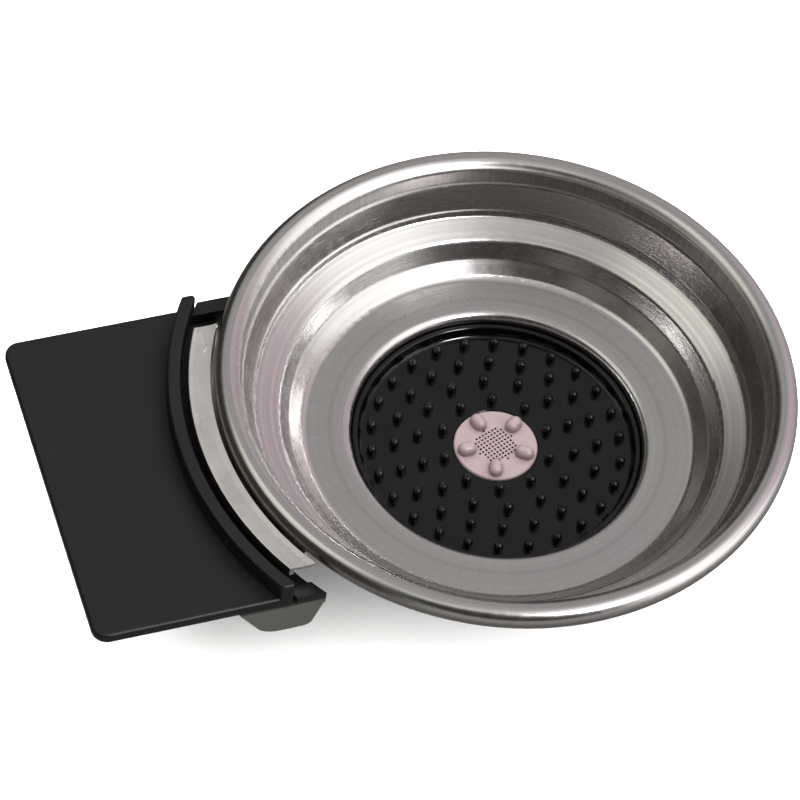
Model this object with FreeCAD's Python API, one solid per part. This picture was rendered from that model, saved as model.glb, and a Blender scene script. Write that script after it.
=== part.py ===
import FreeCAD, Part
import os
from math import acos, atan2, cos, degrees, hypot, radians, sin, sqrt

# A pad holder for a pod-style coffee machine: a spun steel bowl with a curled rim, a black pimpled
# pad support with a snap-in centre sieve, a collector cup below it, and a flat plastic handle that
# grips a steel bracket welded to the bowl.
#
# Millimetres. +Z is up. The origin is on the bowl's axis in the foot plane, at the outlet's mouth.
# The handle points to -Y. Names ending in _drop are depths below the rim's widest circle, and names
# ending in _rise are heights above it.

# ---- driving sizes: bowl -------------------------------------------------------------------------
RIM_RADIUS = 60.0
RIM_HEIGHT = 38.0
SHEET = 0.6
CURL_RADIUS = 2.6
CURL_END_ANGLE = -135.0
THROAT_RADIUS = 54.7
THROAT_RISE = 1.1
BEAD_OUT_RADIUS = 54.25
BEAD_IN_RADIUS = 53.75
BEAD_TOP_DROP = 2.3
BEAD_FOOT_DROP = 2.9
STEP_OUT_RADIUS = 51.65
STEP_IN_RADIUS = 51.25
STEP_TOP_DROP = 8.1
STEP_FOOT_DROP = 8.5
LEDGE_RADIUS = 51.05
LEDGE_DROP = 9.7
SHOULDER_RADIUS = 46.0
SHOULDER_DROP = 12.0
KNEE_RADIUS = 43.8
KNEE_DROP = 15.3
FLOOR_RADIUS = 40.6
FLOOR_DROP = 18.2
RECESS_RADIUS = 30.45
RECESS_DROP = 26.0

# ---- driving sizes: pad support ------------------------------------------------------------------
PAD_PLATE_DROP = 22.7
PAD_PLATE_THICKNESS = 1.6
PAD_WALL_TOP_DROP = 20.4
PAD_WALL_THICKNESS = 1.1
PAD_WALL_DRAFT = 0.3
PIMPLE_RADIUS = 1.0
PIMPLE_HEIGHT = 2.1
PIMPLE_RINGS = [(11.5, 10, 93.96), (16.4, 14, 93.94), (21.3, 20, 75.89), (26.2, 26, 80.03)]
WELL_RADIUS = 8.0
HUB_WALL = 4.6
WELL_DEPTH = 5.5
WELL_FLOOR = 1.6
BOSS_CIRCLE = 23.5
BOSS_RADIUS = 2.6
BOSS_LENGTH = 6.0
BASE_SCREW_ANGLES = [30.0, 150.0, 270.0]

# ---- driving sizes: sieve, seals and nozzle ------------------------------------------------------
SIEVE_RIM = 0.8
SIEVE_PROUD = 0.3
SIEVE_FLANGE = 0.8
SIEVE_FOIL = 0.35
SIEVE_FIELD_RADIUS = 4.6
SIEVE_SKIRT_WALL = 0.9
HOLE_PITCH = 0.83
HOLE_SIDE = 0.46
HOLE_FIELD_RADIUS = 4.15
HOLE_GRID_ANGLE = 20.0
PEG_CIRCLE = 6.3
PEG_COUNT = 5
PEG_FIRST_ANGLE = 54.0
PEG_WIDTH = 2.9
PEG_LENGTH = 4.0
PEG_HEIGHT = 2.0
SIEVE_SEAL_SECTION = 0.6
GASKET_INSET = 1.6
GASKET_WIDTH = 1.6
GASKET_HEIGHT = 1.1
NOZZLE_FLANGE_RADIUS = 3.2
NOZZLE_FLANGE = 0.8
NOZZLE_STEM_RADIUS = 2.0
NOZZLE_TAIL = 0.3
JET_RADIUS = 0.45
JET_MOUTH_RADIUS = 1.3

# ---- driving sizes: collector --------------------------------------------------------------------
COLLECTOR_TOP_WALL = 2.2
COLLECTOR_TOP_CHAMFER = 0.8
COLLECTOR_TAPER = 0.9
COLLECTOR_WALL = 2.0
COLLECTOR_DECK = 2.0
COLLECTOR_FOOT_CHAMFER = 1.0
CHAMBER_RADIUS = 16.5
CHAMBER_WALL = 2.0
CHAMBER_FLOOR_HEIGHT = 3.4
CHAMBER_FLOOR = 1.4
OUTLET_RADIUS = 3.0
OUTLET_WALL = 1.8
PILLAR_WALL = 1.3
PILLAR_SEAT = 1.5
RIB_COUNT = 6
RIB_THICKNESS = 1.4
RIB_FOOT_GAP = 4.0
COLLECTOR_SEAL_SECTION = 0.7
BREAKER_RADIUS = 5.0
BREAKER_THICKNESS = 0.8
BREAKER_LEG_RADIUS = 0.6
BREAKER_LEG_CIRCLE = 4.1
BREAKER_LEG_LENGTH = 1.2

# ---- driving sizes: screws -----------------------------------------------------------------------
SCREW_RADIUS = 1.25
SCREW_HEAD_RADIUS = 2.5
SCREW_HEAD_HEIGHT = 1.8
SCREW_SLOT_WIDTH = 0.7
SCREW_SLOT_DEPTH = 0.8
SCREW_GRIP = 4.5

# ---- driving sizes: bracket ----------------------------------------------------------------------
BRACKET_SHEET = 0.8
STRIP_GAP = 0.7
STRIP_WIDTH = 4.5
STRIP_DROP = 0.8
STRIP_LIP = 2.4
STRIP_END_RIGHT = 33.2
STRIP_END_LEFT = 28.7
STRIP_DISH = 0.25
WEB_HALF_ANGLE = 28.0
TONGUE_LENGTH = 11.0
TONGUE_HALF_ANGLE = 6.5
FLANGE_ANGLE_RIGHT = 27.0
FLANGE_ANGLE_LEFT = 33.0
FOOT_ANGLES = [-22.0, 0.0, 22.0]
FOOT_HALF_ANGLE = 4.5
FOOT_HEIGHT = 3.5

# ---- driving sizes: handle -----------------------------------------------------------------------
HANDLE_REACH = 96.7
HANDLE_HALF_WIDTH = 37.2
HANDLE_THICKNESS = 2.6
HANDLE_TOP_DROP = 5.5
HANDLE_CORNER_RADIUS = 3.2
HANDLE_EDGE_ROUND = 0.8
RIB_GAP = 1.5
RIB_WIDTH = 2.8
RIB_TOP_DROP = 1.0
RIB_EDGE_ROUND = 0.6
RIB_OVERHANG = 0.1
RIB_END_ROUND = 0.8
SHELF_THICKNESS = 1.2
RIB_ROOT = 0.6
GUSSET_OFFSET = 15.0
GUSSET_THICKNESS = 2.0
GUSSET_HEIGHT = 5.0
GUSSET_LENGTH = 18.0
CLAMP_HALF_WIDTH = 37.3
CLAMP_WIDTH = 14.7
CLAMP_DEPTH = 8.0
CLAMP_INNER_SLOPE = 2.2
CLAMP_OUTER_SLOPE = 4.6
CLAMP_INNER_ROUND = 1.8
CLAMP_OUTER_ROUND = 4.5
CLAMP_WALL = 2.2
EAR_DROP_RIGHT = 5.8
EAR_DROP_LEFT = 4.2
EAR_THICKNESS = 3.2
EAR_REACH_RIGHT = 0.0
EAR_REACH_LEFT = 1.2
HANDLE_BOSS_INSET = 6.7
HANDLE_BOSS_ANGLE = 17.0
HANDLE_BOSS_RADIUS = 3.0
HANDLE_BOSS_LENGTH = 4.2
CLAMP_SEAT = 1.5

# ---- clearances ----------------------------------------------------------------------------------
PRESS_GAP = 0.02
THREAD_GAP = 0.05
SEAT_GAP = 0.05
LOCATE_GAP = 0.25
WELD_GAP = 0.05
FACE_GAP = 0.1
BRACKET_GAP = 0.4
HUB_GAP = 0.6

# ---- levels and radii worked out from the sizes above --------------------------------------------
RECESS_FLOOR_Z = RIM_HEIGHT - RECESS_DROP
RECESS_UNDER_Z = RECESS_FLOOR_Z - SHEET
FLOOR_UNDER_Z = RIM_HEIGHT - FLOOR_DROP - SHEET
PAD_PLATE_Z = RIM_HEIGHT - PAD_PLATE_DROP
PAD_PLATE_UNDER_Z = PAD_PLATE_Z - PAD_PLATE_THICKNESS
PAD_OUTER_RADIUS = RECESS_RADIUS - LOCATE_GAP
GASKET_INNER_RADIUS = PAD_OUTER_RADIUS - GASKET_INSET - GASKET_WIDTH
HUB_RADIUS = WELL_RADIUS + HUB_WALL
HUB_HOLE_RADIUS = HUB_RADIUS + HUB_GAP
SIEVE_RADIUS = WELL_RADIUS + SIEVE_RIM
COLLECTOR_RADIUS = RECESS_RADIUS + SHEET + LOCATE_GAP + COLLECTOR_TOP_WALL
SIEVE_TOP_Z = PAD_PLATE_Z + SIEVE_PROUD
SIEVE_SEAT_Z = SIEVE_TOP_Z - SIEVE_FLANGE - SEAT_GAP
WELL_FLOOR_Z = SIEVE_SEAT_Z - WELL_DEPTH
HUB_UNDER_Z = WELL_FLOOR_Z - WELL_FLOOR
BOSS_END_Z = RECESS_UNDER_Z - BOSS_LENGTH + COLLECTOR_DECK
PILLAR_SEAT_Z = BOSS_END_Z - FACE_GAP - PILLAR_SEAT
HANDLE_TOP_Z = RIM_HEIGHT - HANDLE_TOP_DROP
HANDLE_UNDER_Z = HANDLE_TOP_Z - HANDLE_THICKNESS
CLAMP_TOP_Z = HANDLE_UNDER_Z - FACE_GAP
CLAMP_UNDER_Z = CLAMP_TOP_Z - CLAMP_DEPTH
HANDLE_BOSS_END_Z = HANDLE_UNDER_Z - HANDLE_BOSS_LENGTH
CLAMP_SEAT_Z = HANDLE_BOSS_END_Z - FACE_GAP - CLAMP_SEAT
RIB_TOP_Z = RIM_HEIGHT - RIB_TOP_DROP
STRIP_TOP_Z = RIM_HEIGHT - STRIP_DROP
WEB_RADIUS = RIM_RADIUS + STRIP_GAP
RIB_INNER_RADIUS = WEB_RADIUS + STRIP_WIDTH + RIB_GAP
CLAMP_INNER_RADIUS = WEB_RADIUS + BRACKET_SHEET + BRACKET_GAP
CLAMP_OUTER_RADIUS = CLAMP_INNER_RADIUS + CLAMP_WIDTH
HANDLE_BOSS_CIRCLE = CLAMP_INNER_RADIUS + HANDLE_BOSS_INSET

UP = FreeCAD.Vector(0, 0, 1)
ORIGIN = FreeCAD.Vector(0, 0, 0)


# ---- drawing helpers -----------------------------------------------------------------------------
def vec(r, z):
    """A point of a profile drawn at +X, where r is the distance from the bowl's axis."""
    return FreeCAD.Vector(r, 0, z)


def rounded_edges(points, radii):
    """Edges of an open path through points, with an arc of the given radius at each inner corner."""
    edges = []
    start = points[0]
    for before, corner, after, radius in zip(points, points[1:], points[2:], radii):
        into = (corner - before).normalize()
        out = (after - corner).normalize()
        turn = into.getAngle(out)
        if radius <= 0 or turn < radians(0.5):
            edges.append(Part.makeLine(start, corner))
            start = corner
            continue
        tangent = radius * abs(sin(turn / 2) / cos(turn / 2))
        first = corner - into * tangent
        last = corner + out * tangent
        towards = (out - into).normalize()
        middle = corner + towards * (radius / cos(turn / 2) - radius)
        edges.append(Part.makeLine(start, first))
        edges.append(Part.Arc(first, middle, last).toShape())
        start = last
    edges.append(Part.makeLine(start, points[-1]))
    return edges


def turned(points, radii=None, angle=360.0):
    """A solid of revolution about the bowl's axis from a closed outline of (r, z) points."""
    outline = [vec(r, z) for r, z in points]
    if radii is None:
        wire = Part.makePolygon(outline + outline[:1])
    else:
        middle = (outline[0] + outline[-1]) * 0.5
        wire = Part.Wire(rounded_edges([middle] + outline + [middle], radii))
    return Part.Face(wire).revolve(ORIGIN, UP, angle)


def sector(points, from_angle, to_angle, radii=None):
    """A part of a turned shape between two angles, counted from -Y and positive towards +X."""
    shape = turned(points, radii, to_angle - from_angle)
    shape.rotate(ORIGIN, UP, from_angle - 90.0)
    return shape


def block(x0, x1, y0, y1, z0, z1):
    """A box between two corners."""
    return Part.makeBox(x1 - x0, y1 - y0, z1 - z0, FreeCAD.Vector(x0, y0, z0))


def rod(radius, z0, z1, x=0.0, y=0.0):
    """An upright cylinder between two heights."""
    return Part.makeCylinder(radius, z1 - z0, FreeCAD.Vector(x, y, z0))


def on_circle(radius, angle):
    """The x and y of a point on a circle about the bowl's axis, with the angle from +X."""
    return radius * cos(radians(angle)), radius * sin(radians(angle))


def ring_seal(radius, section, z):
    """A round seal ring of the given section, with its middle at height z."""
    return Part.makeTorus(radius, section, FreeCAD.Vector(0, 0, z), UP)


def handle_boss_spots():
    """The x and y of the two screw bosses of the handle."""
    return [on_circle(HANDLE_BOSS_CIRCLE, side * HANDLE_BOSS_ANGLE - 90.0) for side in (-1, 1)]


def save(name, shape):
    """Write one node."""
    shape.exportStep("parts/%s.step" % name)
    print("%-18s solids %d  volume %.1f" % (name, len(shape.Solids), shape.Volume))


# ---- bowl ----------------------------------------------------------------------------------------
def bowl_corners():
    """The inner face of the bowl from the hub hole up to the curl, and the round at each corner."""
    rim = RIM_HEIGHT
    corners = [
        (HUB_HOLE_RADIUS, rim - RECESS_DROP, 0.0),
        (RECESS_RADIUS, rim - RECESS_DROP, 1.2),
        (RECESS_RADIUS, rim - FLOOR_DROP, 1.9),
        (FLOOR_RADIUS, rim - FLOOR_DROP, 2.2),
        (KNEE_RADIUS, rim - KNEE_DROP, 2.0),
        (SHOULDER_RADIUS, rim - SHOULDER_DROP, 1.9),
        (LEDGE_RADIUS, rim - LEDGE_DROP, 0.7),
        (STEP_IN_RADIUS, rim - STEP_FOOT_DROP, 0.3),
        (STEP_OUT_RADIUS, rim - STEP_TOP_DROP, 0.7),
        (BEAD_IN_RADIUS, rim - BEAD_FOOT_DROP, 0.7),
        (BEAD_OUT_RADIUS, rim - BEAD_TOP_DROP, 0.4),
        (THROAT_RADIUS, rim + THROAT_RISE, 1.0),
    ]
    return corners


def curl_start():
    """Where the line from the throat's edge touches the curl, as an angle at the curl's centre."""
    dr = THROAT_RADIUS - (RIM_RADIUS - CURL_RADIUS)
    return atan2(THROAT_RISE, dr) - acos(CURL_RADIUS / hypot(dr, THROAT_RISE))


def curl_point(radius, angle):
    """A point on the rim's curl."""
    return vec(RIM_RADIUS - CURL_RADIUS + radius * cos(angle), RIM_HEIGHT + radius * sin(angle))


def side_path(offset):
    """One face of the bowl's sheet: the inner one at offset 0, the outer one at the sheet's thickness."""
    corners = bowl_corners()
    points = [vec(r, z) for r, z, _ in corners] + [curl_point(CURL_RADIUS, curl_start())]
    steps = [(b - a).normalize() for a, b in zip(points, points[1:])]
    sides = [FreeCAD.Vector(s.z, 0, -s.x) for s in steps]
    moved = [points[0] + sides[0] * offset]
    radii = []
    for i in range(1, len(points) - 1):
        mitre = (sides[i - 1] + sides[i]) * (1.0 / (1.0 + sides[i - 1].dot(sides[i])))
        moved.append(points[i] + mitre * offset)
        turns_left = steps[i - 1].x * steps[i].z - steps[i - 1].z * steps[i].x > 0
        radii.append(corners[i][2] + offset if turns_left else max(corners[i][2] - offset, 0.05))
    moved.append(points[-1] + sides[-1] * offset)
    edges = rounded_edges(moved, radii)
    radius = CURL_RADIUS - offset
    last = radians(CURL_END_ANGLE)
    middle = (curl_start() + last) / 2
    arc = Part.Arc(moved[-1], curl_point(radius, middle), curl_point(radius, last))
    return edges + [arc.toShape()], moved[0], curl_point(radius, last)


def bowl():
    """The drawn and spun steel bowl, with holes for the hub and the three screw bosses."""
    inner, inner_start, inner_end = side_path(0.0)
    outer, outer_start, outer_end = side_path(SHEET)
    caps = [Part.makeLine(inner_start, outer_start), Part.makeLine(inner_end, outer_end)]
    wire = Part.Wire(Part.__sortEdges__(inner + outer + caps))
    shape = Part.Face(wire).revolve(ORIGIN, UP, 360)
    for angle in BASE_SCREW_ANGLES:
        x, y = on_circle(BOSS_CIRCLE, angle)
        hole = rod(BOSS_RADIUS + LOCATE_GAP, RECESS_UNDER_Z - SHEET, RECESS_FLOOR_Z + SHEET, x, y)
        shape = shape.cut(hole)
    return shape


# ---- pad support ---------------------------------------------------------------------------------
def pimple(x, y):
    """One domed pimple on the plate: an upright post with a ball end, let into the plate."""
    neck = PAD_PLATE_Z + PIMPLE_HEIGHT - PIMPLE_RADIUS
    root = PAD_PLATE_Z - PAD_PLATE_THICKNESS / 2
    post = Part.makeCone(PIMPLE_RADIUS * 1.1, PIMPLE_RADIUS, neck - root, FreeCAD.Vector(x, y, root))
    ball = Part.makeSphere(PIMPLE_RADIUS, FreeCAD.Vector(x, y, neck))
    return post.fuse(ball)


def pimples():
    """All the pimples, on rings about the sieve."""
    shapes = []
    for radius, count, first in PIMPLE_RINGS:
        for i in range(count):
            shapes.append(pimple(*on_circle(radius, first + i * 360.0 / count)))
    return shapes


def gasket_groove():
    """The groove under the pad support's wall that holds the bowl gasket."""
    inner = GASKET_INNER_RADIUS
    outer = inner + GASKET_WIDTH
    top = RECESS_FLOOR_Z + GASKET_HEIGHT
    return turned([(inner, RECESS_FLOOR_Z - 1), (outer, RECESS_FLOOR_Z - 1), (outer, top), (inner, top)])


def pad_support():
    """The black moulding under the pad: plate, rim wall, hub with its well, feet and bosses."""
    outer = PAD_OUTER_RADIUS
    inner = outer - PAD_WALL_THICKNESS
    top = RIM_HEIGHT - PAD_WALL_TOP_DROP
    foot = RECESS_FLOOR_Z + FACE_GAP
    groove = GASKET_INNER_RADIUS - 1.0
    seat = SIEVE_RADIUS + LOCATE_GAP
    outline = [
        (WELL_RADIUS, SIEVE_SEAT_Z), (seat, SIEVE_SEAT_Z), (seat, PAD_PLATE_Z),
        (inner - PAD_WALL_DRAFT, PAD_PLATE_Z), (inner, top), (outer, top), (outer, foot + 1.4),
        (outer - 1.4, foot), (groove, foot), (groove, PAD_PLATE_UNDER_Z), (HUB_RADIUS, PAD_PLATE_UNDER_Z),
        (HUB_RADIUS, HUB_UNDER_Z), (NOZZLE_STEM_RADIUS + PRESS_GAP, HUB_UNDER_Z),
        (NOZZLE_STEM_RADIUS + PRESS_GAP, WELL_FLOOR_Z), (WELL_RADIUS, WELL_FLOOR_Z),
    ]
    rounds = [0.0, 0.0, 0.2, 1.0, 0.4, 0.3] + [0.0] * 9
    shape = turned(outline, rounds)
    shape = shape.multiFuse(pimples())
    bosses = []
    pilots = []
    for angle in BASE_SCREW_ANGLES:
        x, y = on_circle(BOSS_CIRCLE, angle)
        bosses.append(rod(BOSS_RADIUS, BOSS_END_Z, PAD_PLATE_Z - 0.2, x, y))
        pilot_top = BOSS_END_Z + SCREW_GRIP + 0.5
        pilots.append(rod(SCREW_RADIUS + THREAD_GAP, BOSS_END_Z - 1, pilot_top, x, y))
    shape = shape.multiFuse(bosses).cut(gasket_groove())
    return shape.cut(Part.makeCompound(pilots)).removeSplitter()


def bowl_gasket():
    """The flat silicone ring between the pad support and the bowl's recess."""
    inner = GASKET_INNER_RADIUS + PRESS_GAP
    outer = GASKET_INNER_RADIUS + GASKET_WIDTH - PRESS_GAP
    low = RECESS_FLOOR_Z
    high = RECESS_FLOOR_Z + GASKET_HEIGHT
    return turned([(inner, low), (outer, low), (outer, high), (inner, high)])


# ---- sieve ---------------------------------------------------------------------------------------
def peg(angle):
    """One radial peg of the sieve: a short wall with a round top."""
    radius = PEG_WIDTH / 2
    half = PEG_LENGTH / 2 - radius
    low = SIEVE_TOP_Z - SIEVE_FLANGE / 2
    axis_z = SIEVE_TOP_Z + PEG_HEIGHT - radius
    ends = [rod(radius, low, axis_z, PEG_CIRCLE + side * half) for side in (-1, 1)]
    tips = [FreeCAD.Vector(PEG_CIRCLE + side * half, 0, axis_z) for side in (-1, 1)]
    balls = [Part.makeSphere(radius, tip) for tip in tips]
    wall = block(PEG_CIRCLE - half, PEG_CIRCLE + half, -radius, radius, low, axis_z)
    start = FreeCAD.Vector(PEG_CIRCLE - half, 0, axis_z)
    top = Part.makeCylinder(radius, 2 * half, start, FreeCAD.Vector(1, 0, 0))
    shape = wall.multiFuse(ends + balls + [top])
    shape.rotate(ORIGIN, UP, angle)
    return shape


def sieve_holes():
    """The square holes of the filter field, on a square grid inside a circle."""
    holes = []
    reach = int(HOLE_FIELD_RADIUS / HOLE_PITCH) + 1
    low = SIEVE_TOP_Z - SIEVE_FLANGE - 1
    for i in range(-reach, reach + 1):
        for j in range(-reach, reach + 1):
            x = i * HOLE_PITCH
            y = j * HOLE_PITCH
            if hypot(x, y) <= HOLE_FIELD_RADIUS:
                half = HOLE_SIDE / 2
                holes.append(block(x - half, x + half, y - half, y + half, low, SIEVE_TOP_Z + 1))
    field = Part.makeCompound(holes)
    field.rotate(ORIGIN, UP, HOLE_GRID_ANGLE)
    return field


def sieve():
    """The snap-in sieve: a cap with a skirt, a thin drilled field and five pegs."""
    skirt_outer = WELL_RADIUS - LOCATE_GAP
    skirt_inner = skirt_outer - SIEVE_SKIRT_WALL
    under = SIEVE_TOP_Z - SIEVE_FLANGE
    foot = WELL_FLOOR_Z + 2 * SIEVE_SEAL_SECTION + SEAT_GAP
    foil = SIEVE_TOP_Z - SIEVE_FOIL
    outline = [
        (0.0, foil), (SIEVE_FIELD_RADIUS, foil), (SIEVE_FIELD_RADIUS, under), (skirt_inner, under),
        (skirt_inner, foot), (skirt_outer, foot), (skirt_outer, under), (SIEVE_RADIUS, under),
        (SIEVE_RADIUS, SIEVE_TOP_Z - 0.25), (SIEVE_RADIUS - 0.25, SIEVE_TOP_Z), (0.0, SIEVE_TOP_Z),
    ]
    shape = turned(outline)
    pegs = [peg(PEG_FIRST_ANGLE + i * 360.0 / PEG_COUNT) for i in range(PEG_COUNT)]
    return shape.multiFuse(pegs).cut(sieve_holes())


def sieve_seal():
    """The round seal under the sieve's skirt, on the floor of the well."""
    radius = WELL_RADIUS - LOCATE_GAP - SIEVE_SKIRT_WALL / 2
    return ring_seal(radius - 0.1, SIEVE_SEAL_SECTION, WELL_FLOOR_Z + SIEVE_SEAL_SECTION)


def jet_nozzle():
    """The steel insert in the floor of the well, with the fine hole that makes the jet."""
    top = WELL_FLOOR_Z + NOZZLE_FLANGE
    end = HUB_UNDER_Z - NOZZLE_TAIL
    outline = [
        (JET_RADIUS, end), (NOZZLE_STEM_RADIUS, end), (NOZZLE_STEM_RADIUS, WELL_FLOOR_Z),
        (NOZZLE_FLANGE_RADIUS, WELL_FLOOR_Z), (NOZZLE_FLANGE_RADIUS, top), (JET_MOUTH_RADIUS, top),
        (JET_RADIUS, top - 1.2),
    ]
    return turned(outline)


# ---- collector -----------------------------------------------------------------------------------
def collector_shell():
    """The outer wall, deck, froth chamber and outlet tube of the collector, turned in one outline."""
    sleeve = RECESS_RADIUS + SHEET + LOCATE_GAP
    top = FLOOR_UNDER_Z - FACE_GAP
    deck = RECESS_UNDER_Z - FACE_GAP
    foot = COLLECTOR_RADIUS - COLLECTOR_TAPER
    chamber_under = CHAMBER_FLOOR_HEIGHT - CHAMBER_FLOOR
    tube = OUTLET_RADIUS + OUTLET_WALL
    lead = COLLECTOR_TOP_CHAMFER
    outline = [
        (OUTLET_RADIUS, 0.0), (tube, 0.0), (tube, chamber_under),
        (CHAMBER_RADIUS + CHAMBER_WALL, chamber_under),
        (CHAMBER_RADIUS + CHAMBER_WALL, deck - COLLECTOR_DECK),
        (foot - COLLECTOR_WALL, deck - COLLECTOR_DECK), (foot - COLLECTOR_WALL, 0.0),
        (foot - COLLECTOR_FOOT_CHAMFER, 0.0), (foot, COLLECTOR_FOOT_CHAMFER),
        (COLLECTOR_RADIUS, top - 0.6), (COLLECTOR_RADIUS - 0.6, top), (sleeve + lead, top),
        (sleeve, top - lead), (sleeve, deck + SHEET), (sleeve - 1.4, deck), (CHAMBER_RADIUS, deck),
        (CHAMBER_RADIUS, CHAMBER_FLOOR_HEIGHT + 0.6), (OUTLET_RADIUS, CHAMBER_FLOOR_HEIGHT),
    ]
    return turned(outline)


def collector_ribs():
    """Radial ribs between the froth chamber and the outer wall, clear of the screw pillars."""
    ribs = []
    deck = RECESS_UNDER_Z - FACE_GAP
    for i in range(RIB_COUNT):
        inner = CHAMBER_RADIUS + CHAMBER_WALL / 2
        outer = COLLECTOR_RADIUS - COLLECTOR_TAPER - COLLECTOR_WALL / 2
        half = RIB_THICKNESS / 2
        rib = block(inner, outer, -half, half, RIB_FOOT_GAP, deck - COLLECTOR_DECK / 2)
        rib.rotate(ORIGIN, UP, i * 360.0 / RIB_COUNT)
        ribs.append(rib)
    return ribs


def collector():
    """The black cup under the bowl, with pillars for the three screws."""
    deck = RECESS_UNDER_Z - FACE_GAP
    bore = BOSS_RADIUS + LOCATE_GAP
    pillars = []
    cuts = []
    for angle in BASE_SCREW_ANGLES:
        x, y = on_circle(BOSS_CIRCLE, angle)
        pillars.append(rod(bore + PILLAR_WALL, PILLAR_SEAT_Z, deck - COLLECTOR_DECK / 2, x, y))
        cuts.append(rod(bore, BOSS_END_Z - FACE_GAP, deck + 1, x, y))
        cuts.append(rod(SCREW_RADIUS + LOCATE_GAP, PILLAR_SEAT_Z - 1, deck, x, y))
    rebate = CHAMBER_RADIUS + CHAMBER_WALL / 2
    low = deck - 2 * COLLECTOR_SEAL_SECTION + FACE_GAP
    inner = CHAMBER_RADIUS - 1
    groove = turned([(inner, low), (rebate, low), (rebate, deck + 1), (inner, deck + 1)])
    shape = collector_shell().multiFuse(collector_ribs() + pillars)
    return shape.cut(Part.makeCompound(cuts)).cut(groove).removeSplitter()


def collector_seal():
    """The round seal between the froth chamber and the underside of the bowl."""
    radius = CHAMBER_RADIUS + CHAMBER_WALL / 2 - COLLECTOR_SEAL_SECTION - PRESS_GAP
    return ring_seal(radius, COLLECTOR_SEAL_SECTION, RECESS_UNDER_Z - COLLECTOR_SEAL_SECTION)


def jet_breaker():
    """The small table over the outlet that the jet strikes, on three legs."""
    floor = CHAMBER_FLOOR_HEIGHT + 0.15
    low = floor + BREAKER_LEG_LENGTH
    shape = rod(BREAKER_RADIUS, low, low + BREAKER_THICKNESS)
    legs = []
    for i in range(3):
        x, y = on_circle(BREAKER_LEG_CIRCLE, 90.0 + 120.0 * i)
        legs.append(rod(BREAKER_LEG_RADIUS, floor, low + BREAKER_THICKNESS / 2, x, y))
    return shape.multiFuse(legs).removeSplitter()


# ---- screws --------------------------------------------------------------------------------------
def screw(x, y, seat_z):
    """A pan-head screw driven upwards, with its head under seat_z and a cross slot."""
    head_low = seat_z - SCREW_HEAD_HEIGHT
    head = rod(SCREW_HEAD_RADIUS, head_low, seat_z, x, y)
    head = head.makeFillet(0.6, [e for e in head.Edges if abs(e.CenterOfMass.z - head_low) < 1e-6])
    reach = SCREW_HEAD_RADIUS * 0.62
    half = SCREW_SLOT_WIDTH / 2
    slot_top = head_low + SCREW_SLOT_DEPTH
    cross = block(x - reach, x + reach, y - half, y + half, head_low - 1, slot_top)
    cross = cross.fuse(block(x - half, x + half, y - reach, y + reach, head_low - 1, slot_top))
    return head, cross


def screw_group(spots, seat_z, wall):
    """Equal screws at the given spots, each as long as its seat wall and its grip."""
    screws = []
    for x, y in spots:
        head, cross = screw(x, y, seat_z)
        shank = rod(SCREW_RADIUS, seat_z - 0.4, seat_z + wall + FACE_GAP + SCREW_GRIP, x, y)
        screws.append(head.fuse(shank).cut(cross))
    return Part.makeCompound(screws)


def collector_screws():
    """Three screws from the collector's pillars into the pad support's bosses."""
    spots = [on_circle(BOSS_CIRCLE, angle) for angle in BASE_SCREW_ANGLES]
    return screw_group(spots, PILLAR_SEAT_Z, PILLAR_SEAT)


def handle_screws():
    """Two screws from the clamp into the handle's bosses."""
    return screw_group(handle_boss_spots(), CLAMP_SEAT_Z, CLAMP_SEAT)


# ---- bracket -------------------------------------------------------------------------------------
def bracket_flange():
    """The bracket's inward flange under the rim, with the feet that are welded to the bowl's wall."""
    low = HANDLE_UNDER_Z - BRACKET_SHEET
    high = HANDLE_UNDER_Z
    slope = (BEAD_IN_RADIUS - STEP_OUT_RADIUS) / (STEP_TOP_DROP - BEAD_FOOT_DROP)
    lean = sqrt(1 + slope * slope)
    wall = STEP_OUT_RADIUS + SHEET * lean + WELD_GAP + (high - RIM_HEIGHT + STEP_TOP_DROP) * slope
    foot = wall + FOOT_HEIGHT * slope
    thick = BRACKET_SHEET * lean
    edge = WEB_RADIUS + BRACKET_SHEET
    ledge = [(wall, low), (edge, low), (edge, high), (wall, high)]
    upright = [
        (wall, low), (wall + thick, low), (wall + thick, high), (foot + thick, high + FOOT_HEIGHT),
        (foot, high + FOOT_HEIGHT), (wall, high),
    ]
    shapes = [sector(ledge, -FLANGE_ANGLE_LEFT, FLANGE_ANGLE_RIGHT)]
    for angle in FOOT_ANGLES:
        shapes.append(sector(upright, angle - FOOT_HALF_ANGLE, angle + FOOT_HALF_ANGLE))
    return shapes


def bracket_strip():
    """The dished strip beside the rim, with its folded outer lip."""
    inner = WEB_RADIUS
    outer = inner + STRIP_WIDTH
    top = STRIP_TOP_Z
    low = top - STRIP_DISH
    under = low - BRACKET_SHEET
    outline = [
        (inner, top - BRACKET_SHEET), (inner + 1.2, under), (outer - BRACKET_SHEET, under),
        (outer - BRACKET_SHEET, top - STRIP_LIP), (outer, top - STRIP_LIP), (outer, top - STRIP_DISH / 2),
        (outer - 0.9, low), (inner + 1.2, low), (inner, top),
    ]
    room = block(-STRIP_END_LEFT, STRIP_END_RIGHT, -RIM_RADIUS - 20, 0, 0, RIM_HEIGHT + 10)
    strip = sector(outline, -45.0, 45.0).common(room)
    arcs = [e for e in strip.Edges if e.BoundBox.ZLength < 1e-6 and hasattr(e.Curve, "Radius")]
    edge = [e for e in arcs if abs(e.Curve.Radius - outer) < 1e-6 and e.BoundBox.ZMin > low]
    return strip.makeFillet(0.25, edge)


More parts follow.
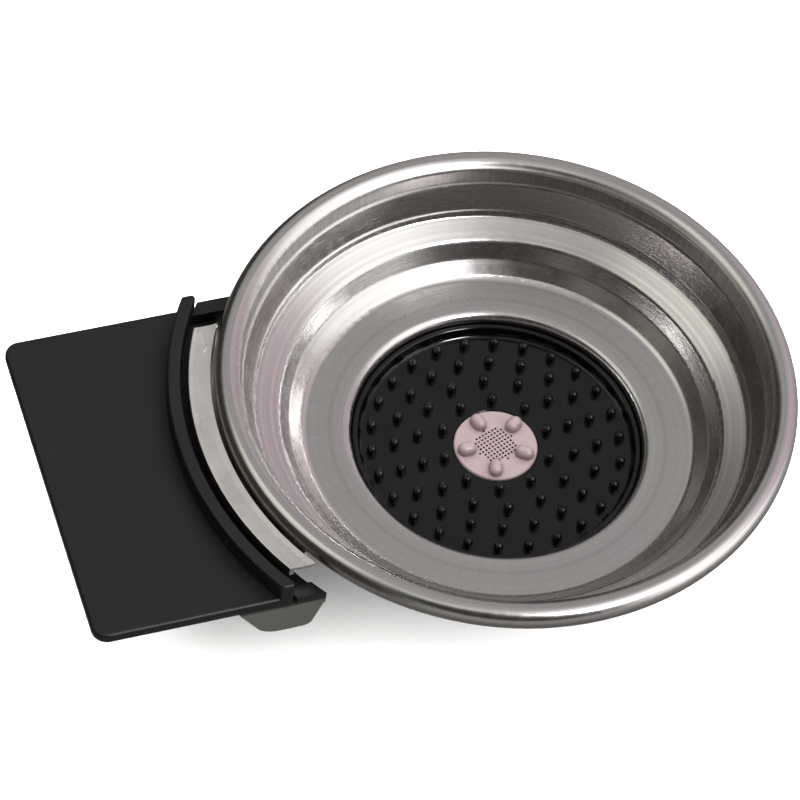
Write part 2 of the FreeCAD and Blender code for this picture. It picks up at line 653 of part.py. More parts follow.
def handle_bracket():
    """The pressed steel bracket: strip beside the rim, web, flange to the bowl and two tongues."""
    web_in = WEB_RADIUS
    web_out = web_in + BRACKET_SHEET
    low = HANDLE_UNDER_Z - BRACKET_SHEET
    high = STRIP_TOP_Z - STRIP_DISH - BRACKET_SHEET / 2
    web = [(web_in, low), (web_out, low), (web_out, high), (web_in, high)]
    pieces = [sector(web, -WEB_HALF_ANGLE, WEB_HALF_ANGLE)]
    pieces += bracket_flange()
    tongue = [
        (web_in, low), (web_in + TONGUE_LENGTH, low), (web_in + TONGUE_LENGTH, low + BRACKET_SHEET),
        (web_in, low + BRACKET_SHEET),
    ]
    for side in (-1, 1):
        middle = side * HANDLE_BOSS_ANGLE
        pieces.append(sector(tongue, middle - TONGUE_HALF_ANGLE, middle + TONGUE_HALF_ANGLE))
    shape = bracket_strip().multiFuse(pieces)
    for x, y in handle_boss_spots():
        shape = shape.cut(rod(HANDLE_BOSS_RADIUS + LOCATE_GAP, low - 1, low + 2, x, y))
    return shape.removeSplitter()


# ---- handle --------------------------------------------------------------------------------------
def handle_slab():
    """The flat grip plate, with round outer corners and softened edges."""
    half = HANDLE_HALF_WIDTH
    outer = -HANDLE_REACH
    corner = HANDLE_CORNER_RADIUS
    slab = block(-half, half, outer, -RIB_INNER_RADIUS / 2, HANDLE_UNDER_Z, HANDLE_TOP_Z)
    upright = [e for e in slab.Edges if abs(e.CenterOfMass.z - (HANDLE_UNDER_Z + HANDLE_TOP_Z) / 2) < 1e-6]
    slab = slab.makeFillet(corner, [e for e in upright if e.CenterOfMass.y < outer + 1])
    rims = [e for e in slab.Edges if abs(e.Vertexes[0].Z - e.Vertexes[-1].Z) < 1e-6]
    rims = [e for e in rims if e.CenterOfMass.y < -RIB_INNER_RADIUS / 2 - 1]
    slab = slab.makeFillet(HANDLE_EDGE_ROUND, rims)
    return slab.cut(rod(RIB_INNER_RADIUS + RIB_WIDTH / 2, HANDLE_UNDER_Z - 1, HANDLE_TOP_Z + 1))


def handle_rib():
    """The raised arc at the bowl end of the plate."""
    inner = RIB_INNER_RADIUS
    outer = inner + RIB_WIDTH
    root = HANDLE_UNDER_Z + RIB_ROOT
    outline = [(inner, root), (outer, root), (outer, RIB_TOP_Z), (inner, RIB_TOP_Z)]
    half = HANDLE_HALF_WIDTH + RIB_OVERHANG
    rib = sector(outline, -45.0, 45.0).common(block(-half, half, -HANDLE_REACH, 0, 0, RIM_HEIGHT + 10))
    upright = [e for e in rib.Edges if e.BoundBox.ZLength > RIB_TOP_Z - root - 0.01]
    rib = rib.makeFillet(RIB_END_ROUND, upright)
    return rib.makeFillet(RIB_EDGE_ROUND, [e for e in rib.Edges if e.BoundBox.ZMin > RIB_TOP_Z - 0.01])


def handle_shelf():
    """The thin shelf that closes the gap between the plate and the bracket, between the clamp's ears."""
    outer = RIB_INNER_RADIUS + RIB_WIDTH / 2
    high = HANDLE_UNDER_Z + SHELF_THICKNESS
    inner = CLAMP_INNER_RADIUS
    outline = [(inner, HANDLE_UNDER_Z), (outer, HANDLE_UNDER_Z), (outer, high), (inner, high)]
    half = CLAMP_HALF_WIDTH - EAR_THICKNESS - LOCATE_GAP
    return sector(outline, -45.0, 45.0).common(block(-half, half, -HANDLE_REACH, 0, 0, RIM_HEIGHT))


def handle_gusset(x):
    """A stiffening web under the plate, deepest at the clamp."""
    near = -CLAMP_OUTER_RADIUS + 1.5
    far = near - GUSSET_LENGTH
    corners = [(near, HANDLE_UNDER_Z + 0.5), (far, HANDLE_UNDER_Z + 0.5), (far, HANDLE_UNDER_Z - 0.3)]
    corners.append((near, HANDLE_UNDER_Z - GUSSET_HEIGHT))
    points = [FreeCAD.Vector(x - GUSSET_THICKNESS / 2, y, z) for y, z in corners]
    face = Part.Face(Part.makePolygon(points + points[:1]))
    return face.extrude(FreeCAD.Vector(GUSSET_THICKNESS, 0, 0)).cut(clamp_body(FACE_GAP))


def handle_plate():
    """The handle's top moulding: grip plate, arc rib, gussets and screw bosses."""
    pieces = [handle_rib(), handle_shelf()]
    pieces += [handle_gusset(side * GUSSET_OFFSET) for side in (-1, 1)]
    pilots = []
    for x, y in handle_boss_spots():
        pieces.append(rod(HANDLE_BOSS_RADIUS, HANDLE_BOSS_END_Z, HANDLE_TOP_Z - 1, x, y))
        pilot_top = HANDLE_BOSS_END_Z + SCREW_GRIP + 0.5
        pilots.append(rod(SCREW_RADIUS + THREAD_GAP, HANDLE_BOSS_END_Z - 1, pilot_top, x, y))
    shape = handle_slab().multiFuse(pieces)
    return shape.cut(Part.makeCompound(pilots)).removeSplitter()


def clamp_body(grow=0.0):
    """The outer form of the clamp: an arc-shaped boat under the handle's inner end."""
    inner = CLAMP_INNER_RADIUS - grow
    outer = CLAMP_OUTER_RADIUS + grow
    top = CLAMP_TOP_Z + grow
    low = CLAMP_UNDER_Z - grow
    outline = [(inner, top), (inner + CLAMP_INNER_SLOPE, low), (outer - CLAMP_OUTER_SLOPE, low), (outer, top)]
    rounds = [0.0, CLAMP_INNER_ROUND, CLAMP_OUTER_ROUND, 0.0]
    body = sector(outline, -50.0, 50.0, rounds)
    half = CLAMP_HALF_WIDTH + grow
    return body.common(block(-half, half, -HANDLE_REACH, 0, 0, RIM_HEIGHT))


def clamp_ear(side):
    """A raised cheek at one end of the clamp."""
    inner = CLAMP_INNER_RADIUS - (EAR_REACH_RIGHT if side > 0 else EAR_REACH_LEFT)
    outer = RIB_INNER_RADIUS - SEAT_GAP
    low = CLAMP_TOP_Z - 1.0
    high = RIM_HEIGHT - (EAR_DROP_RIGHT if side > 0 else EAR_DROP_LEFT)
    outline = [(inner, low), (outer, low), (outer, high), (inner, high)]
    ring = sector(outline, -50.0, 50.0)
    x0 = CLAMP_HALF_WIDTH - EAR_THICKNESS
    cheek = block(x0, CLAMP_HALF_WIDTH, -HANDLE_REACH, 0, 0, RIM_HEIGHT)
    if side < 0:
        cheek = cheek.mirror(ORIGIN, FreeCAD.Vector(1, 0, 0))
    return ring.common(cheek)


def clamp_core(from_angle, to_angle):
    """A pocket that cores out the clamp from its hidden top face."""
    inner = CLAMP_INNER_RADIUS + CLAMP_INNER_SLOPE + CLAMP_WALL
    outer = CLAMP_OUTER_RADIUS - CLAMP_OUTER_SLOPE - CLAMP_WALL
    low = CLAMP_UNDER_Z + CLAMP_WALL
    outline = [(inner, low), (outer, low), (outer, CLAMP_TOP_Z + 1), (inner, CLAMP_TOP_Z + 1)]
    return sector(outline, from_angle, to_angle)


def handle_clamp():
    """The handle's lower moulding, which traps the bracket's tongues under the plate."""
    shape = clamp_body().multiFuse([clamp_ear(-1), clamp_ear(1)])
    spare = TONGUE_HALF_ANGLE + 0.4
    reach = WEB_RADIUS + TONGUE_LENGTH + LOCATE_GAP
    floor = CLAMP_TOP_Z - BRACKET_SHEET
    pocket = [(WEB_RADIUS, floor), (reach, floor), (reach, CLAMP_TOP_Z + 1), (WEB_RADIUS, CLAMP_TOP_Z + 1)]
    cuts = [clamp_core(-8.0, 8.0)]
    for side in (-1, 1):
        middle = side * HANDLE_BOSS_ANGLE
        cuts.append(sector(pocket, middle - spare, middle + spare))
    for x, y in handle_boss_spots():
        cuts.append(rod(HANDLE_BOSS_RADIUS + LOCATE_GAP, HANDLE_BOSS_END_Z - FACE_GAP, CLAMP_TOP_Z + 1, x, y))
        cuts.append(rod(SCREW_RADIUS + LOCATE_GAP, CLAMP_UNDER_Z - 1, CLAMP_TOP_Z, x, y))
        cuts.append(rod(SCREW_HEAD_RADIUS + LOCATE_GAP, CLAMP_UNDER_Z - 1, CLAMP_SEAT_Z, x, y))
    return shape.cut(Part.makeCompound(cuts)).removeSplitter()


# ---- build ---------------------------------------------------------------------------------------
os.makedirs("parts", exist_ok=True)
NODES = [
    bowl, pad_support, bowl_gasket, sieve, sieve_seal, jet_nozzle, collector, collector_seal,
    jet_breaker, collector_screws, handle_bracket, handle_plate, handle_clamp, handle_screws,
]
for make in NODES:
    save(make.__name__, make())
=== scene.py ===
import math
import bpy
import numpy as np
from mathutils import Matrix

bpy.ops.wm.read_factory_settings(use_empty=True)
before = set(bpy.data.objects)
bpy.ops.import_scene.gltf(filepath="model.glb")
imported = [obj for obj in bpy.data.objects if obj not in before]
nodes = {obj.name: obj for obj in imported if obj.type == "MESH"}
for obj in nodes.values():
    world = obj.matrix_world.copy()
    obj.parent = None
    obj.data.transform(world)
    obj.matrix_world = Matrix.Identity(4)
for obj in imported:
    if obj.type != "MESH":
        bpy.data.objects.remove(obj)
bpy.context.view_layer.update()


# ---- table top -------------------------------------------------------------------------------------
# A plain pale sheet of matt studio board, wide enough to fill the view. The holder stands on it on its
# collector's foot ring. It has a fine paper grain, and is kept out of reflections.

def new_finish(name, colour, metallic, roughness, specular=0.5):
    """A fresh material with one Principled shader. Gives the material, its node tree and the shader."""
    made = bpy.data.materials.new(name)
    made.use_nodes = True
    tree = made.node_tree
    shader = tree.nodes["Principled BSDF"]
    shader.inputs["Base Color"].default_value = (*colour, 1.0)
    shader.inputs["Metallic"].default_value = metallic
    shader.inputs["Roughness"].default_value = roughness
    shader.inputs["Specular IOR Level"].default_value = specular
    return made, tree, shader


def own_place(tree):
    """The socket that gives each point's place on the object, in metres."""
    return tree.nodes.new("ShaderNodeTexCoord").outputs["Object"]


def grain(tree, vector, scale, detail=2.0, rough=0.5):
    """Soft noise from 0 to 1 with this many cells to a unit of the vector."""
    node = tree.nodes.new("ShaderNodeTexNoise")
    tree.links.new(vector, node.inputs["Vector"])
    node.inputs["Scale"].default_value = scale
    node.inputs["Detail"].default_value = detail
    node.inputs["Roughness"].default_value = rough
    return node.outputs["Fac"]


def blend_colours(tree, share, first, second):
    """A colour between two colours, each a socket or a plain colour."""
    node = tree.nodes.new("ShaderNodeMix")
    node.data_type = "RGBA"
    tree.links.new(share, node.inputs["Factor"])
    for place, value in ((node.inputs[6], first), (node.inputs[7], second)):
        if isinstance(value, tuple):
            place.default_value = (*value, 1.0)
        else:
            tree.links.new(value, place)
    return node.outputs[2]


def raised(tree, shader, height, depth, under=None):
    """Bump of the given depth in metres from a height socket, laid over an earlier bump if there is one."""
    node = tree.nodes.new("ShaderNodeBump")
    node.inputs["Strength"].default_value = 1.0
    node.inputs["Distance"].default_value = depth
    tree.links.new(height, node.inputs["Height"])
    if under is not None:
        tree.links.new(under, node.inputs["Normal"])
    tree.links.new(node.outputs["Normal"], shader.inputs["Normal"])
    return node.outputs["Normal"]


def studio_board():
    """A flat square grid, a hair below the foot plane so that the two don't share a face."""
    half_width, cells, below = 3.0, 8, 0.0001
    side = np.linspace(-half_width, half_width, cells + 1)
    x, y = np.meshgrid(side, side, indexing="ij")
    points = np.stack([x, y, np.full_like(x, -below)], axis=-1).reshape(-1, 3)
    corner = (np.arange(cells)[:, None] * (cells + 1) + np.arange(cells)).ravel()
    faces = np.stack([corner, corner + cells + 1, corner + cells + 2, corner + 1], axis=1)
    mesh = bpy.data.meshes.new("studio_board")
    mesh.from_pydata(points.tolist(), [], faces.tolist())
    board = bpy.data.objects.new("studio_board", mesh)
    bpy.context.scene.collection.objects.link(board)
    material, tree, shader = new_finish("board_paper", (0.9, 0.9, 0.9), 0.0, 0.9, 0.15)
    paper = grain(tree, own_place(tree), 900.0, 4.0)
    tone = blend_colours(tree, paper, (0.90, 0.90, 0.895), (0.93, 0.93, 0.93))
    tree.links.new(tone, shader.inputs["Base Color"])
    raised(tree, shader, paper, 0.00002)
    mesh.materials.append(material)
    board.visible_glossy = False


studio_board()


# ---- bowl ------------------------------------------------------------------------------------------
# One blank of stainless sheet, drawn to its steps and spun to a curled rim, which leaves fine rings all
# round. A ring die left upright drag lines in the throat, and the press faint radial marks on the pad
# floor. The upper wall under the rim is painted darker as painted shade, and the outside is painted darker
# as painted shade and made rougher.

def calc(tree, kind, first, second=0.0, third=0.0):
    """One Math node, whose inputs are sockets or plain numbers."""
    node = tree.nodes.new("ShaderNodeMath")
    node.operation = kind
    for place, value in zip(node.inputs, (first, second, third)):
        if isinstance(value, (int, float)):
            place.default_value = value
        else:
            tree.links.new(value, place)
    return node.outputs[0]


def vector_calc(tree, kind, first, second=None):
    """One Vector Math node, whose inputs are sockets or plain vectors."""
    node = tree.nodes.new("ShaderNodeVectorMath")
    node.operation = kind
    for place, value in zip(node.inputs, (first, second)):
        if isinstance(value, tuple):
            place.default_value = value
        elif value is not None:
            tree.links.new(value, place)
    return node.outputs["Value" if kind in ("DOT_PRODUCT", "DISTANCE") else "Vector"]


def scaled(tree, vector, by):
    """A vector socket times a vector of numbers, which sets how far a grain runs along each axis."""
    return vector_calc(tree, "MULTIPLY", vector, by)


def joined(tree, *parts):
    """A vector socket made of two or three number sockets."""
    node = tree.nodes.new("ShaderNodeCombineXYZ")
    for place, part in zip(node.inputs, parts):
        tree.links.new(part, place)
    return node.outputs[0]


def around_axis(tree, place):
    """Each point's x and z, and its distance from the bowl's axis."""
    split = tree.nodes.new("ShaderNodeSeparateXYZ")
    tree.links.new(place, split.inputs[0])
    x, y, z = split.outputs
    squares = calc(tree, "ADD", calc(tree, "MULTIPLY", x, x), calc(tree, "MULTIPLY", y, y))
    return x, z, calc(tree, "SQRT", squares)


def spread(tree, value, low, high, to_low, to_high, smooth=False):
    """Moves a value from one range to another, held at both ends."""
    node = tree.nodes.new("ShaderNodeMapRange")
    node.interpolation_type = "SMOOTHSTEP" if smooth else "LINEAR"
    tree.links.new(value, node.inputs["Value"])
    for place, number in zip(("From Min", "From Max", "To Min", "To Max"), (low, high, to_low, to_high)):
        node.inputs[place].default_value = number
    return node.outputs["Result"]


def between(tree, value, low, high, edge):
    """1 where the value lies between low and high, with soft sides this wide, and 0 outside."""
    up = spread(tree, value, low - edge, low + edge, 0.0, 1.0, True)
    down = spread(tree, value, high - edge, high + edge, 1.0, 0.0, True)
    return calc(tree, "MULTIPLY", up, down)


def finish_node(name, material):
    """Puts one material on every slot of a frame node."""
    mesh = nodes[name].data
    mesh.materials.clear()
    mesh.materials.append(material)


def spun_steel():
    """Fine rings follow the distance from the axis and the height; drag lines follow the direction."""
    throat_band, floor_band, painted_shade_band = (0.0540, 0.0553), (0.0322, 0.0402), (0.0517, 0.0537)
    material, tree, shader = new_finish("bowl_spun_steel", (0.58, 0.56, 0.55), 1.0, 0.22)
    place = own_place(tree)
    _, z, radius = around_axis(tree, place)
    turn = vector_calc(tree, "NORMALIZE", scaled(tree, place, (1.0, 1.0, 0.0)))
    ring = joined(tree, radius, z)
    rings_fine = grain(tree, ring, 9000.0, 3.0, 0.7)
    rings_wide = grain(tree, ring, 1100.0, 3.0, 0.65)
    rings_broad = grain(tree, ring, 330.0, 2.0, 0.6)
    drag_fine = grain(tree, turn, 420.0, 3.0, 0.7)
    drag_wide = grain(tree, turn, 70.0, 2.0, 0.6)
    throat = between(tree, radius, *throat_band, 0.0002)
    pad_floor = between(tree, radius, *floor_band, 0.0004)
    drag_zone = calc(tree, "MAXIMUM", throat, calc(tree, "MULTIPLY", pad_floor, 0.3))
    rings = calc(tree, "MULTIPLY_ADD", rings_fine, 0.35, calc(tree, "MULTIPLY", rings_wide, 0.65))
    drags = calc(tree, "MULTIPLY_ADD", drag_fine, 0.45, calc(tree, "MULTIPLY", drag_wide, 0.55))
    mixed = tree.nodes.new("ShaderNodeMix")
    tree.links.new(drag_zone, mixed.inputs["Factor"])
    tree.links.new(rings, mixed.inputs[2])
    tree.links.new(drags, mixed.inputs[3])
    lines = mixed.outputs[0]
    cloud = spread(tree, grain(tree, place, 38.0, 3.0), 0.35, 0.65, 0.0, 1.0)
    handled = grain(tree, place, 420.0, 3.0, 0.6)
    warm = blend_colours(tree, cloud, (0.60, 0.575, 0.58), (0.59, 0.59, 0.575))
    # Painted shade: the upper wall between 51.7 and 53.7 mm from the axis is darkened in colour, standing
    # in for the dark reflections it shows.
    painted_wall_shade = calc(tree, "MULTIPLY", between(tree, radius, *painted_shade_band, 0.0001), 0.5)
    with_painted_wall_shade = blend_colours(tree, painted_wall_shade, warm, (0.17, 0.155, 0.15))
    # Painted shade: below the rim and past the curl the steel's colour is darkened, standing in for the dim
    # reflection of the outer face; the same mask also makes it rougher.
    past_curl = spread(tree, radius, 0.0585, 0.0594, 0.0, 1.0, True)
    below_rim = spread(tree, z, 0.0396, 0.0376, 0.0, 1.0, True)
    outside = calc(tree, "MULTIPLY", past_curl, below_rim)
    with_painted_outer_shade = blend_colours(tree, outside, with_painted_wall_shade, (0.34, 0.325, 0.32))
    banded = spread(tree, rings_broad, 0.35, 0.65, 0.0, 0.25)
    shaded = blend_colours(tree, banded, with_painted_outer_shade, (0.40, 0.38, 0.375))
    tone = blend_colours(tree, spread(tree, lines, 0.34, 0.62, 0.55, 0.0), shaded, (0.28, 0.265, 0.26))
    tree.links.new(tone, shader.inputs["Base Color"])
    smears = spread(tree, handled, 0.3, 0.7, 0.0, 0.04)
    polish = calc(tree, "ADD", spread(tree, lines, 0.3, 0.7, 0.28, 0.18), smears)
    rougher = calc(tree, "MULTIPLY_ADD", calc(tree, "MAXIMUM", throat, outside), 0.10, polish)
    tree.links.new(rougher, shader.inputs["Roughness"])
    relief = calc(tree, "MULTIPLY", rings_wide, spread(tree, drag_zone, 0.0, 1.0, 1.0, 0.2))
    raised(tree, shader, relief, 0.000008)
    return material


finish_node("bowl", spun_steel())


# ---- pad support -----------------------------------------------------------------------------------
# A black moulding, pressed into the bowl's recess and held from below by three screws. Its plate and
# its small domed pimples come glossy from a polished mould, with faint flow marks.

def polished_black():
    """Flow marks are slow noise; the gloss breaks up in a fine orange-peel skin."""
    material, tree, shader = new_finish("support_polished_black", (0.003, 0.003, 0.003), 0.0, 0.1, 0.5)
    place = own_place(tree)
    flow = grain(tree, scaled(tree, place, (1.0, 1.0, 0.4)), 160.0, 3.0)
    skin = grain(tree, place, 2600.0, 3.0)
    tone = blend_colours(tree, flow, (0.0010, 0.0009, 0.0010), (0.0026, 0.0024, 0.0026))
    tree.links.new(tone, shader.inputs["Base Color"])
    peel = spread(tree, skin, 0.3, 0.7, 0.0, 0.04)
    dull = calc(tree, "ADD", spread(tree, flow, 0.3, 0.7, 0.07, 0.13), peel)
    tree.links.new(dull, shader.inputs["Roughness"])
    raised(tree, shader, skin, 0.000004)
    return material


finish_node("pad_support", polished_black())


# ---- sieve -----------------------------------------------------------------------------------------
# A small warm grey cap that snaps into the pad support. Five round-topped pegs keep the pad off its
# field of square holes. It is moulded with a satin face.

def satin_grey():
    """A slow mottling of warm grey with a fine satin tooth."""
    material, tree, shader = new_finish("sieve_satin_grey", (0.30, 0.225, 0.23), 0.0, 0.38)
    place = own_place(tree)
    mottle = grain(tree, place, 260.0, 3.0)
    tooth = grain(tree, place, 5200.0, 2.0)
    tone = blend_colours(tree, mottle, (0.118, 0.090, 0.092), (0.145, 0.112, 0.115))
    tree.links.new(tone, shader.inputs["Base Color"])
    tree.links.new(spread(tree, tooth, 0.3, 0.7, 0.32, 0.46), shader.inputs["Roughness"])
    raised(tree, shader, tooth, 0.000005)
    return material


finish_node("sieve", satin_grey())


# ---- seals -----------------------------------------------------------------------------------------
# Three black silicone rings: one under the sieve's skirt, one between the pad support and the bowl, and
# one round the top of the froth chamber. They are held by being squeezed.

def silicone():
    """A dull, slightly powdery skin with moulding specks."""
    material, tree, shader = new_finish("seal_silicone", (0.02, 0.02, 0.02), 0.0, 0.6, 0.35)
    place = own_place(tree)
    powder = grain(tree, place, 1500.0, 4.0)
    tone = blend_colours(tree, powder, (0.015, 0.015, 0.015), (0.035, 0.035, 0.034))
    tree.links.new(tone, shader.inputs["Base Color"])
    tree.links.new(spread(tree, powder, 0.3, 0.7, 0.52, 0.72), shader.inputs["Roughness"])
    raised(tree, shader, powder, 0.00001)
    return material


seal_skin = silicone()
for ring_name in ("sieve_seal", "bowl_gasket", "collector_seal"):
    finish_node(ring_name, seal_skin)


# ---- jet nozzle and screws -------------------------------------------------------------------------
# The nozzle is a turned stainless insert pressed into the well's floor. The screws are plain zinc-grey
# steel with pan heads and a cross slot, driven from below.

def turned_steel(name, colour, dull):
    """Tool marks run across the part's own height."""
    material, tree, shader = new_finish(name, colour, 1.0, dull)
    place = own_place(tree)
    marks = grain(tree, scaled(tree, place, (0.4, 0.4, 1.0)), 6000.0, 3.0)
    dirt = grain(tree, place, 700.0, 3.0)
    tone = blend_colours(tree, dirt, tuple(0.82 * part for part in colour), colour)
    tree.links.new(tone, shader.inputs["Base Color"])
    tree.links.new(spread(tree, marks, 0.3, 0.7, dull - 0.08, dull + 0.1), shader.inputs["Roughness"])
    raised(tree, shader, marks, 0.000006)
    return material


finish_node("jet_nozzle", turned_steel("nozzle_turned_steel", (0.62, 0.60, 0.59), 0.26))
screw_finish = turned_steel("screw_plated_steel", (0.50, 0.50, 0.49), 0.34)
finish_node("collector_screws", screw_finish)
finish_node("handle_screws", screw_finish)


# ---- collector and jet breaker ---------------------------------------------------------------------
# The cup under the bowl and the small table inside it are moulded in one black plastic with a fine
# sparked texture. The cup clamps the bowl's floor against the pad support.

def sparked_black(name, colour, dull, painted_light_low_tone=None):
    """Close cells over a slower tone, with pale nicks. If given, the last argument is a painted light: a
    paler tone laid on the low faces.
    """
    material, tree, shader = new_finish(name, colour, 0.0, dull, 0.4)
    place = own_place(tree)
    cells = tree.nodes.new("ShaderNodeTexVoronoi")
    tree.links.new(place, cells.inputs["Vector"])
    cells.inputs["Scale"].default_value = 3600.0
    pits = cells.outputs["Distance"]
    slow = grain(tree, place, 90.0, 4.0)
    wear = grain(tree, place, 900.0, 4.0)
    light = tuple(part * 1.15 for part in colour)
    dark = tuple(part * 0.9 for part in colour)
    knocks = grain(tree, scaled(tree, place, (1.0, 1.0, 0.5)), 520.0, 6.0, 0.75)
    nicks = spread(tree, knocks, 0.70, 0.76, 0.0, 0.7)
    tone = blend_colours(tree, spread(tree, slow, 0.3, 0.7, 0.0, 1.0), dark, light)
    tone = blend_colours(tree, nicks, tone, tuple(part * 6.0 for part in colour))
    # Painted light: below 30 mm the tone turns paler, standing in for the light on the clamp's low end
    # faces.
    if painted_light_low_tone is not None:
        split = tree.nodes.new("ShaderNodeSeparateXYZ")
        tree.links.new(place, split.inputs[0])
        ramped_share = spread(tree, split.outputs["Z"], 0.0306, 0.0296, 0.0, 1.0, True)
        tone = blend_colours(tree, ramped_share, tone, painted_light_low_tone)
    tree.links.new(tone, shader.inputs["Base Color"])
    sparkle = spread(tree, pits, 0.0, 0.8, dull + 0.06, dull - 0.06)
    rough = calc(tree, "ADD", sparkle, spread(tree, wear, 0.3, 0.7, -0.03, 0.05))
    tree.links.new(rough, shader.inputs["Roughness"])
    raised(tree, shader, pits, 0.000008)
    return material


cup_skin = sparked_black("collector_sparked_black", (0.009, 0.009, 0.0095), 0.46)
finish_node("collector", cup_skin)
finish_node("jet_breaker", cup_skin)


# ---- handle ----------------------------------------------------------------------------------------
# The grip plate with its raised arc, and the clamp under it, are two matt black mouldings that trap the
# bracket's tongues between them. Two screws hold them together. The clamp's low faces carry a painted
# light, a paler tone for the light its end faces catch.

handle_skin = sparked_black("handle_sparked_black", (0.0034, 0.0034, 0.0038), 0.44)
finish_node("handle_plate", handle_skin)
# The last tone is a painted light on the clamp's low end faces.
clamp_skin = sparked_black("clamp_sparked_black", (0.0036, 0.0036, 0.0038), 0.40, (0.042, 0.044, 0.038))
finish_node("handle_clamp", clamp_skin)


# ---- bracket ---------------------------------------------------------------------------------------
# Pressed and folded from stainless strip, then spot-welded to the bowl under its rim. The face beside
# the rim keeps the rolled strip's fine lines, bent along the arc, and has a small dent near one end.

def near_line(tree, place, start, end, half):
    """1 on a straight line between two points of a plan and 0 beyond half its width, seen from above."""
    along = np.subtract(end, start)
    away = vector_calc(tree, "SUBTRACT", scaled(tree, place, (1.0, 1.0, 0.0)), (*start, 0.0))
    share = vector_calc(tree, "DOT_PRODUCT", away, (*(along / along.dot(along)), 0.0))
    foot = tree.nodes.new("ShaderNodeVectorMath")
    foot.operation = "SCALE"
    foot.inputs[0].default_value = (*along, 0.0)
    tree.links.new(spread(tree, share, 0.0, 1.0, 0.0, 1.0), foot.inputs["Scale"])
    gap = vector_calc(tree, "DISTANCE", away, foot.outputs[0])
    return spread(tree, gap, 0.0, half, 1.0, 0.0, True)


def pressed_strip():
    """Rolling lines follow the distance from the bowl's axis, with small scuffs and a V-shaped dent."""
    dent_tip, dent_half_width = (-0.0227, -0.0580), 0.0006
    material, tree, shader = new_finish("bracket_pressed_steel", (0.74, 0.73, 0.70), 1.0, 0.3)
    place = own_place(tree)
    x, z, radius = around_axis(tree, place)
    lines = grain(tree, joined(tree, radius, z, calc(tree, "MULTIPLY", x, 0.03)), 2600.0, 4.0, 0.7)
    scuffs = grain(tree, place, 260.0, 5.0, 0.65)
    tone = blend_colours(tree, scuffs, (0.62, 0.61, 0.58), (0.80, 0.79, 0.765))
    tree.links.new(tone, shader.inputs["Base Color"])
    ramped_share = spread(tree, scuffs, 0.35, 0.7, 0.0, 0.12)
    rough = calc(tree, "ADD", spread(tree, lines, 0.3, 0.7, 0.22, 0.36), ramped_share)
    tree.links.new(rough, shader.inputs["Roughness"])
    rolled = raised(tree, shader, lines, 0.00001)
    left = near_line(tree, place, (-0.0275, -0.0578), dent_tip, dent_half_width)
    right = near_line(tree, place, (-0.0237, -0.0573), dent_tip, dent_half_width)
    raised(tree, shader, calc(tree, "MAXIMUM", left, right), 0.00012, rolled)
    return material


finish_node("handle_bracket", pressed_strip())


# ---- studio light ----------------------------------------------------------------------------------
# A pale room, bright on one side and dim low down and round the camera. A wide lamp overhead lights the
# matt pieces and is kept out of reflections. A small lamp high on the right is seen in reflections only,
# where it gives the glossy pieces their points of light.

def direction(azimuth, elevation):
    """A unit vector from an angle about +Z, counted from +X, and an angle above the floor."""
    a, e = math.radians(azimuth), math.radians(elevation)
    return (math.cos(a) * math.cos(e), math.sin(a) * math.cos(e), math.sin(e))


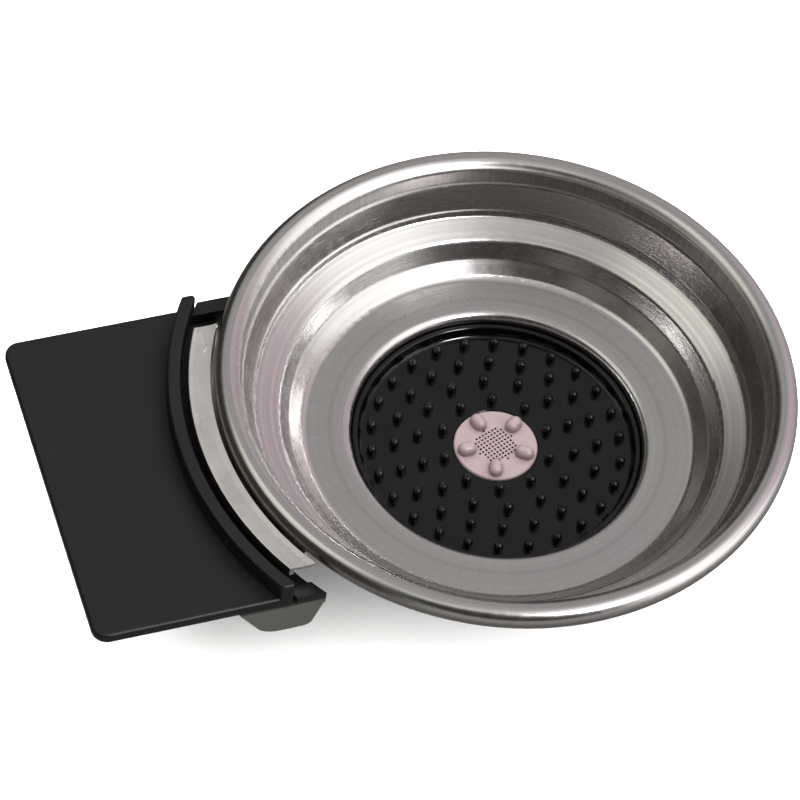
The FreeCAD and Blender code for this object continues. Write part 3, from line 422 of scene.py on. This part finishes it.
def pale_room():
    """The room's colour is a base with soft round patches laid over it, each about its own direction."""
    world = bpy.data.worlds.new("pale_room")
    bpy.context.scene.world = world
    world.use_nodes = True
    tree = world.node_tree
    way = tree.nodes.new("ShaderNodeTexCoord").outputs["Generated"]
    # Azimuth, elevation, and how far out the soft edge and the full tone reach, all in degrees; the tone.
    patches = [
        (60.0, 40.0, 50.0, 14.0, (0.98, 0.97, 0.955)),
        (112.0, 30.0, 34.0, 12.0, (0.40, 0.345, 0.37)),
        (158.0, 2.0, 30.0, 10.0, (0.26, 0.245, 0.245)),
        (-8.0, 38.0, 44.0, 24.0, (0.02, 0.019, 0.017)),
        (-90.0, 2.0, 56.0, 36.0, (0.035, 0.032, 0.028)),
        (-150.0, -4.0, 46.0, 28.0, (0.035, 0.033, 0.03)),
        (0.0, -90.0, 88.0, 40.0, (0.17, 0.167, 0.162)),
        (-112.0, 54.0, 24.0, 14.0, (0.66, 0.65, 0.60)),
        (-35.0, 68.0, 14.0, 5.0, (0.50, 0.49, 0.48)),
    ]
    tone = (0.285, 0.282, 0.28)
    for azimuth, elevation, outer, inner, colour in patches:
        aim = vector_calc(tree, "DOT_PRODUCT", way, direction(azimuth, elevation))
        far, near = math.cos(math.radians(outer)), math.cos(math.radians(inner))
        tone = blend_colours(tree, spread(tree, aim, far, near, 0.0, 1.0, True), tone, colour)
    background = tree.nodes["Background"]
    background.inputs["Strength"].default_value = 1.7
    tree.links.new(tone, background.inputs["Color"])


def standing(turn, place):
    """The 4 by 4 matrix of a thing at this place, with its own axes as the columns of turn."""
    return Matrix([[*turn[row], place[row]] for row in range(3)] + [[0.0, 0.0, 0.0, 1.0]])


def lamp(name, azimuth, elevation, away, size, power, in_gloss, in_diffuse):
    """A square soft lamp that faces the bowl's middle from the given direction and distance."""
    bowl_middle = np.array([0.0, 0.0, 0.03])
    data = bpy.data.lights.new(name, "AREA")
    data.shape = "SQUARE"
    data.size = size
    data.energy = power
    lit = bpy.data.objects.new(name, data)
    bpy.context.scene.collection.objects.link(lit)
    way = np.array(direction(azimuth, elevation))
    place = way * away + bowl_middle
    side = np.cross([0.0, 0.0, 1.0], way)
    side = side / np.linalg.norm(side)
    up = np.cross(way, side)
    lit.matrix_world = standing(np.stack([side, up, way], axis=1), place)
    lit.visible_glossy = in_gloss
    lit.visible_diffuse = in_diffuse


pale_room()
lamp("fill_lamp", 100.0, 80.0, away=1.6, size=5.0, power=330.0, in_gloss=False, in_diffuse=True)
lamp("key_lamp", 25.0, 52.0, away=1.2, size=0.24, power=9.0, in_gloss=True, in_diffuse=False)


# ---- camera ----------------------------------------------------------------------------------------
# A long lens from the right of the handle, looking down into the bowl and turned a little on its side.

def set_camera():
    """The camera's place and its right, down and forward directions."""
    place = (0.4852, -0.2394, 0.7526)
    right = np.array([0.2956, 0.9513, 0.0873])
    down = np.array([0.7844, -0.1896, -0.5906])
    forward = np.array([-0.5453, 0.2431, -0.8022])
    data = bpy.data.cameras.new("studio_camera")
    data.lens = 197.2
    data.sensor_width = 36.0
    data.clip_start = 0.05
    camera = bpy.data.objects.new("studio_camera", data)
    bpy.context.scene.collection.objects.link(camera)
    camera.matrix_world = standing(np.stack([right, -down, -forward], axis=1), place)
    bpy.context.scene.camera = camera


set_camera()
bpy.context.scene.view_settings.view_transform = "Standard"
bpy.context.scene.view_settings.look = "Medium High Contrast"
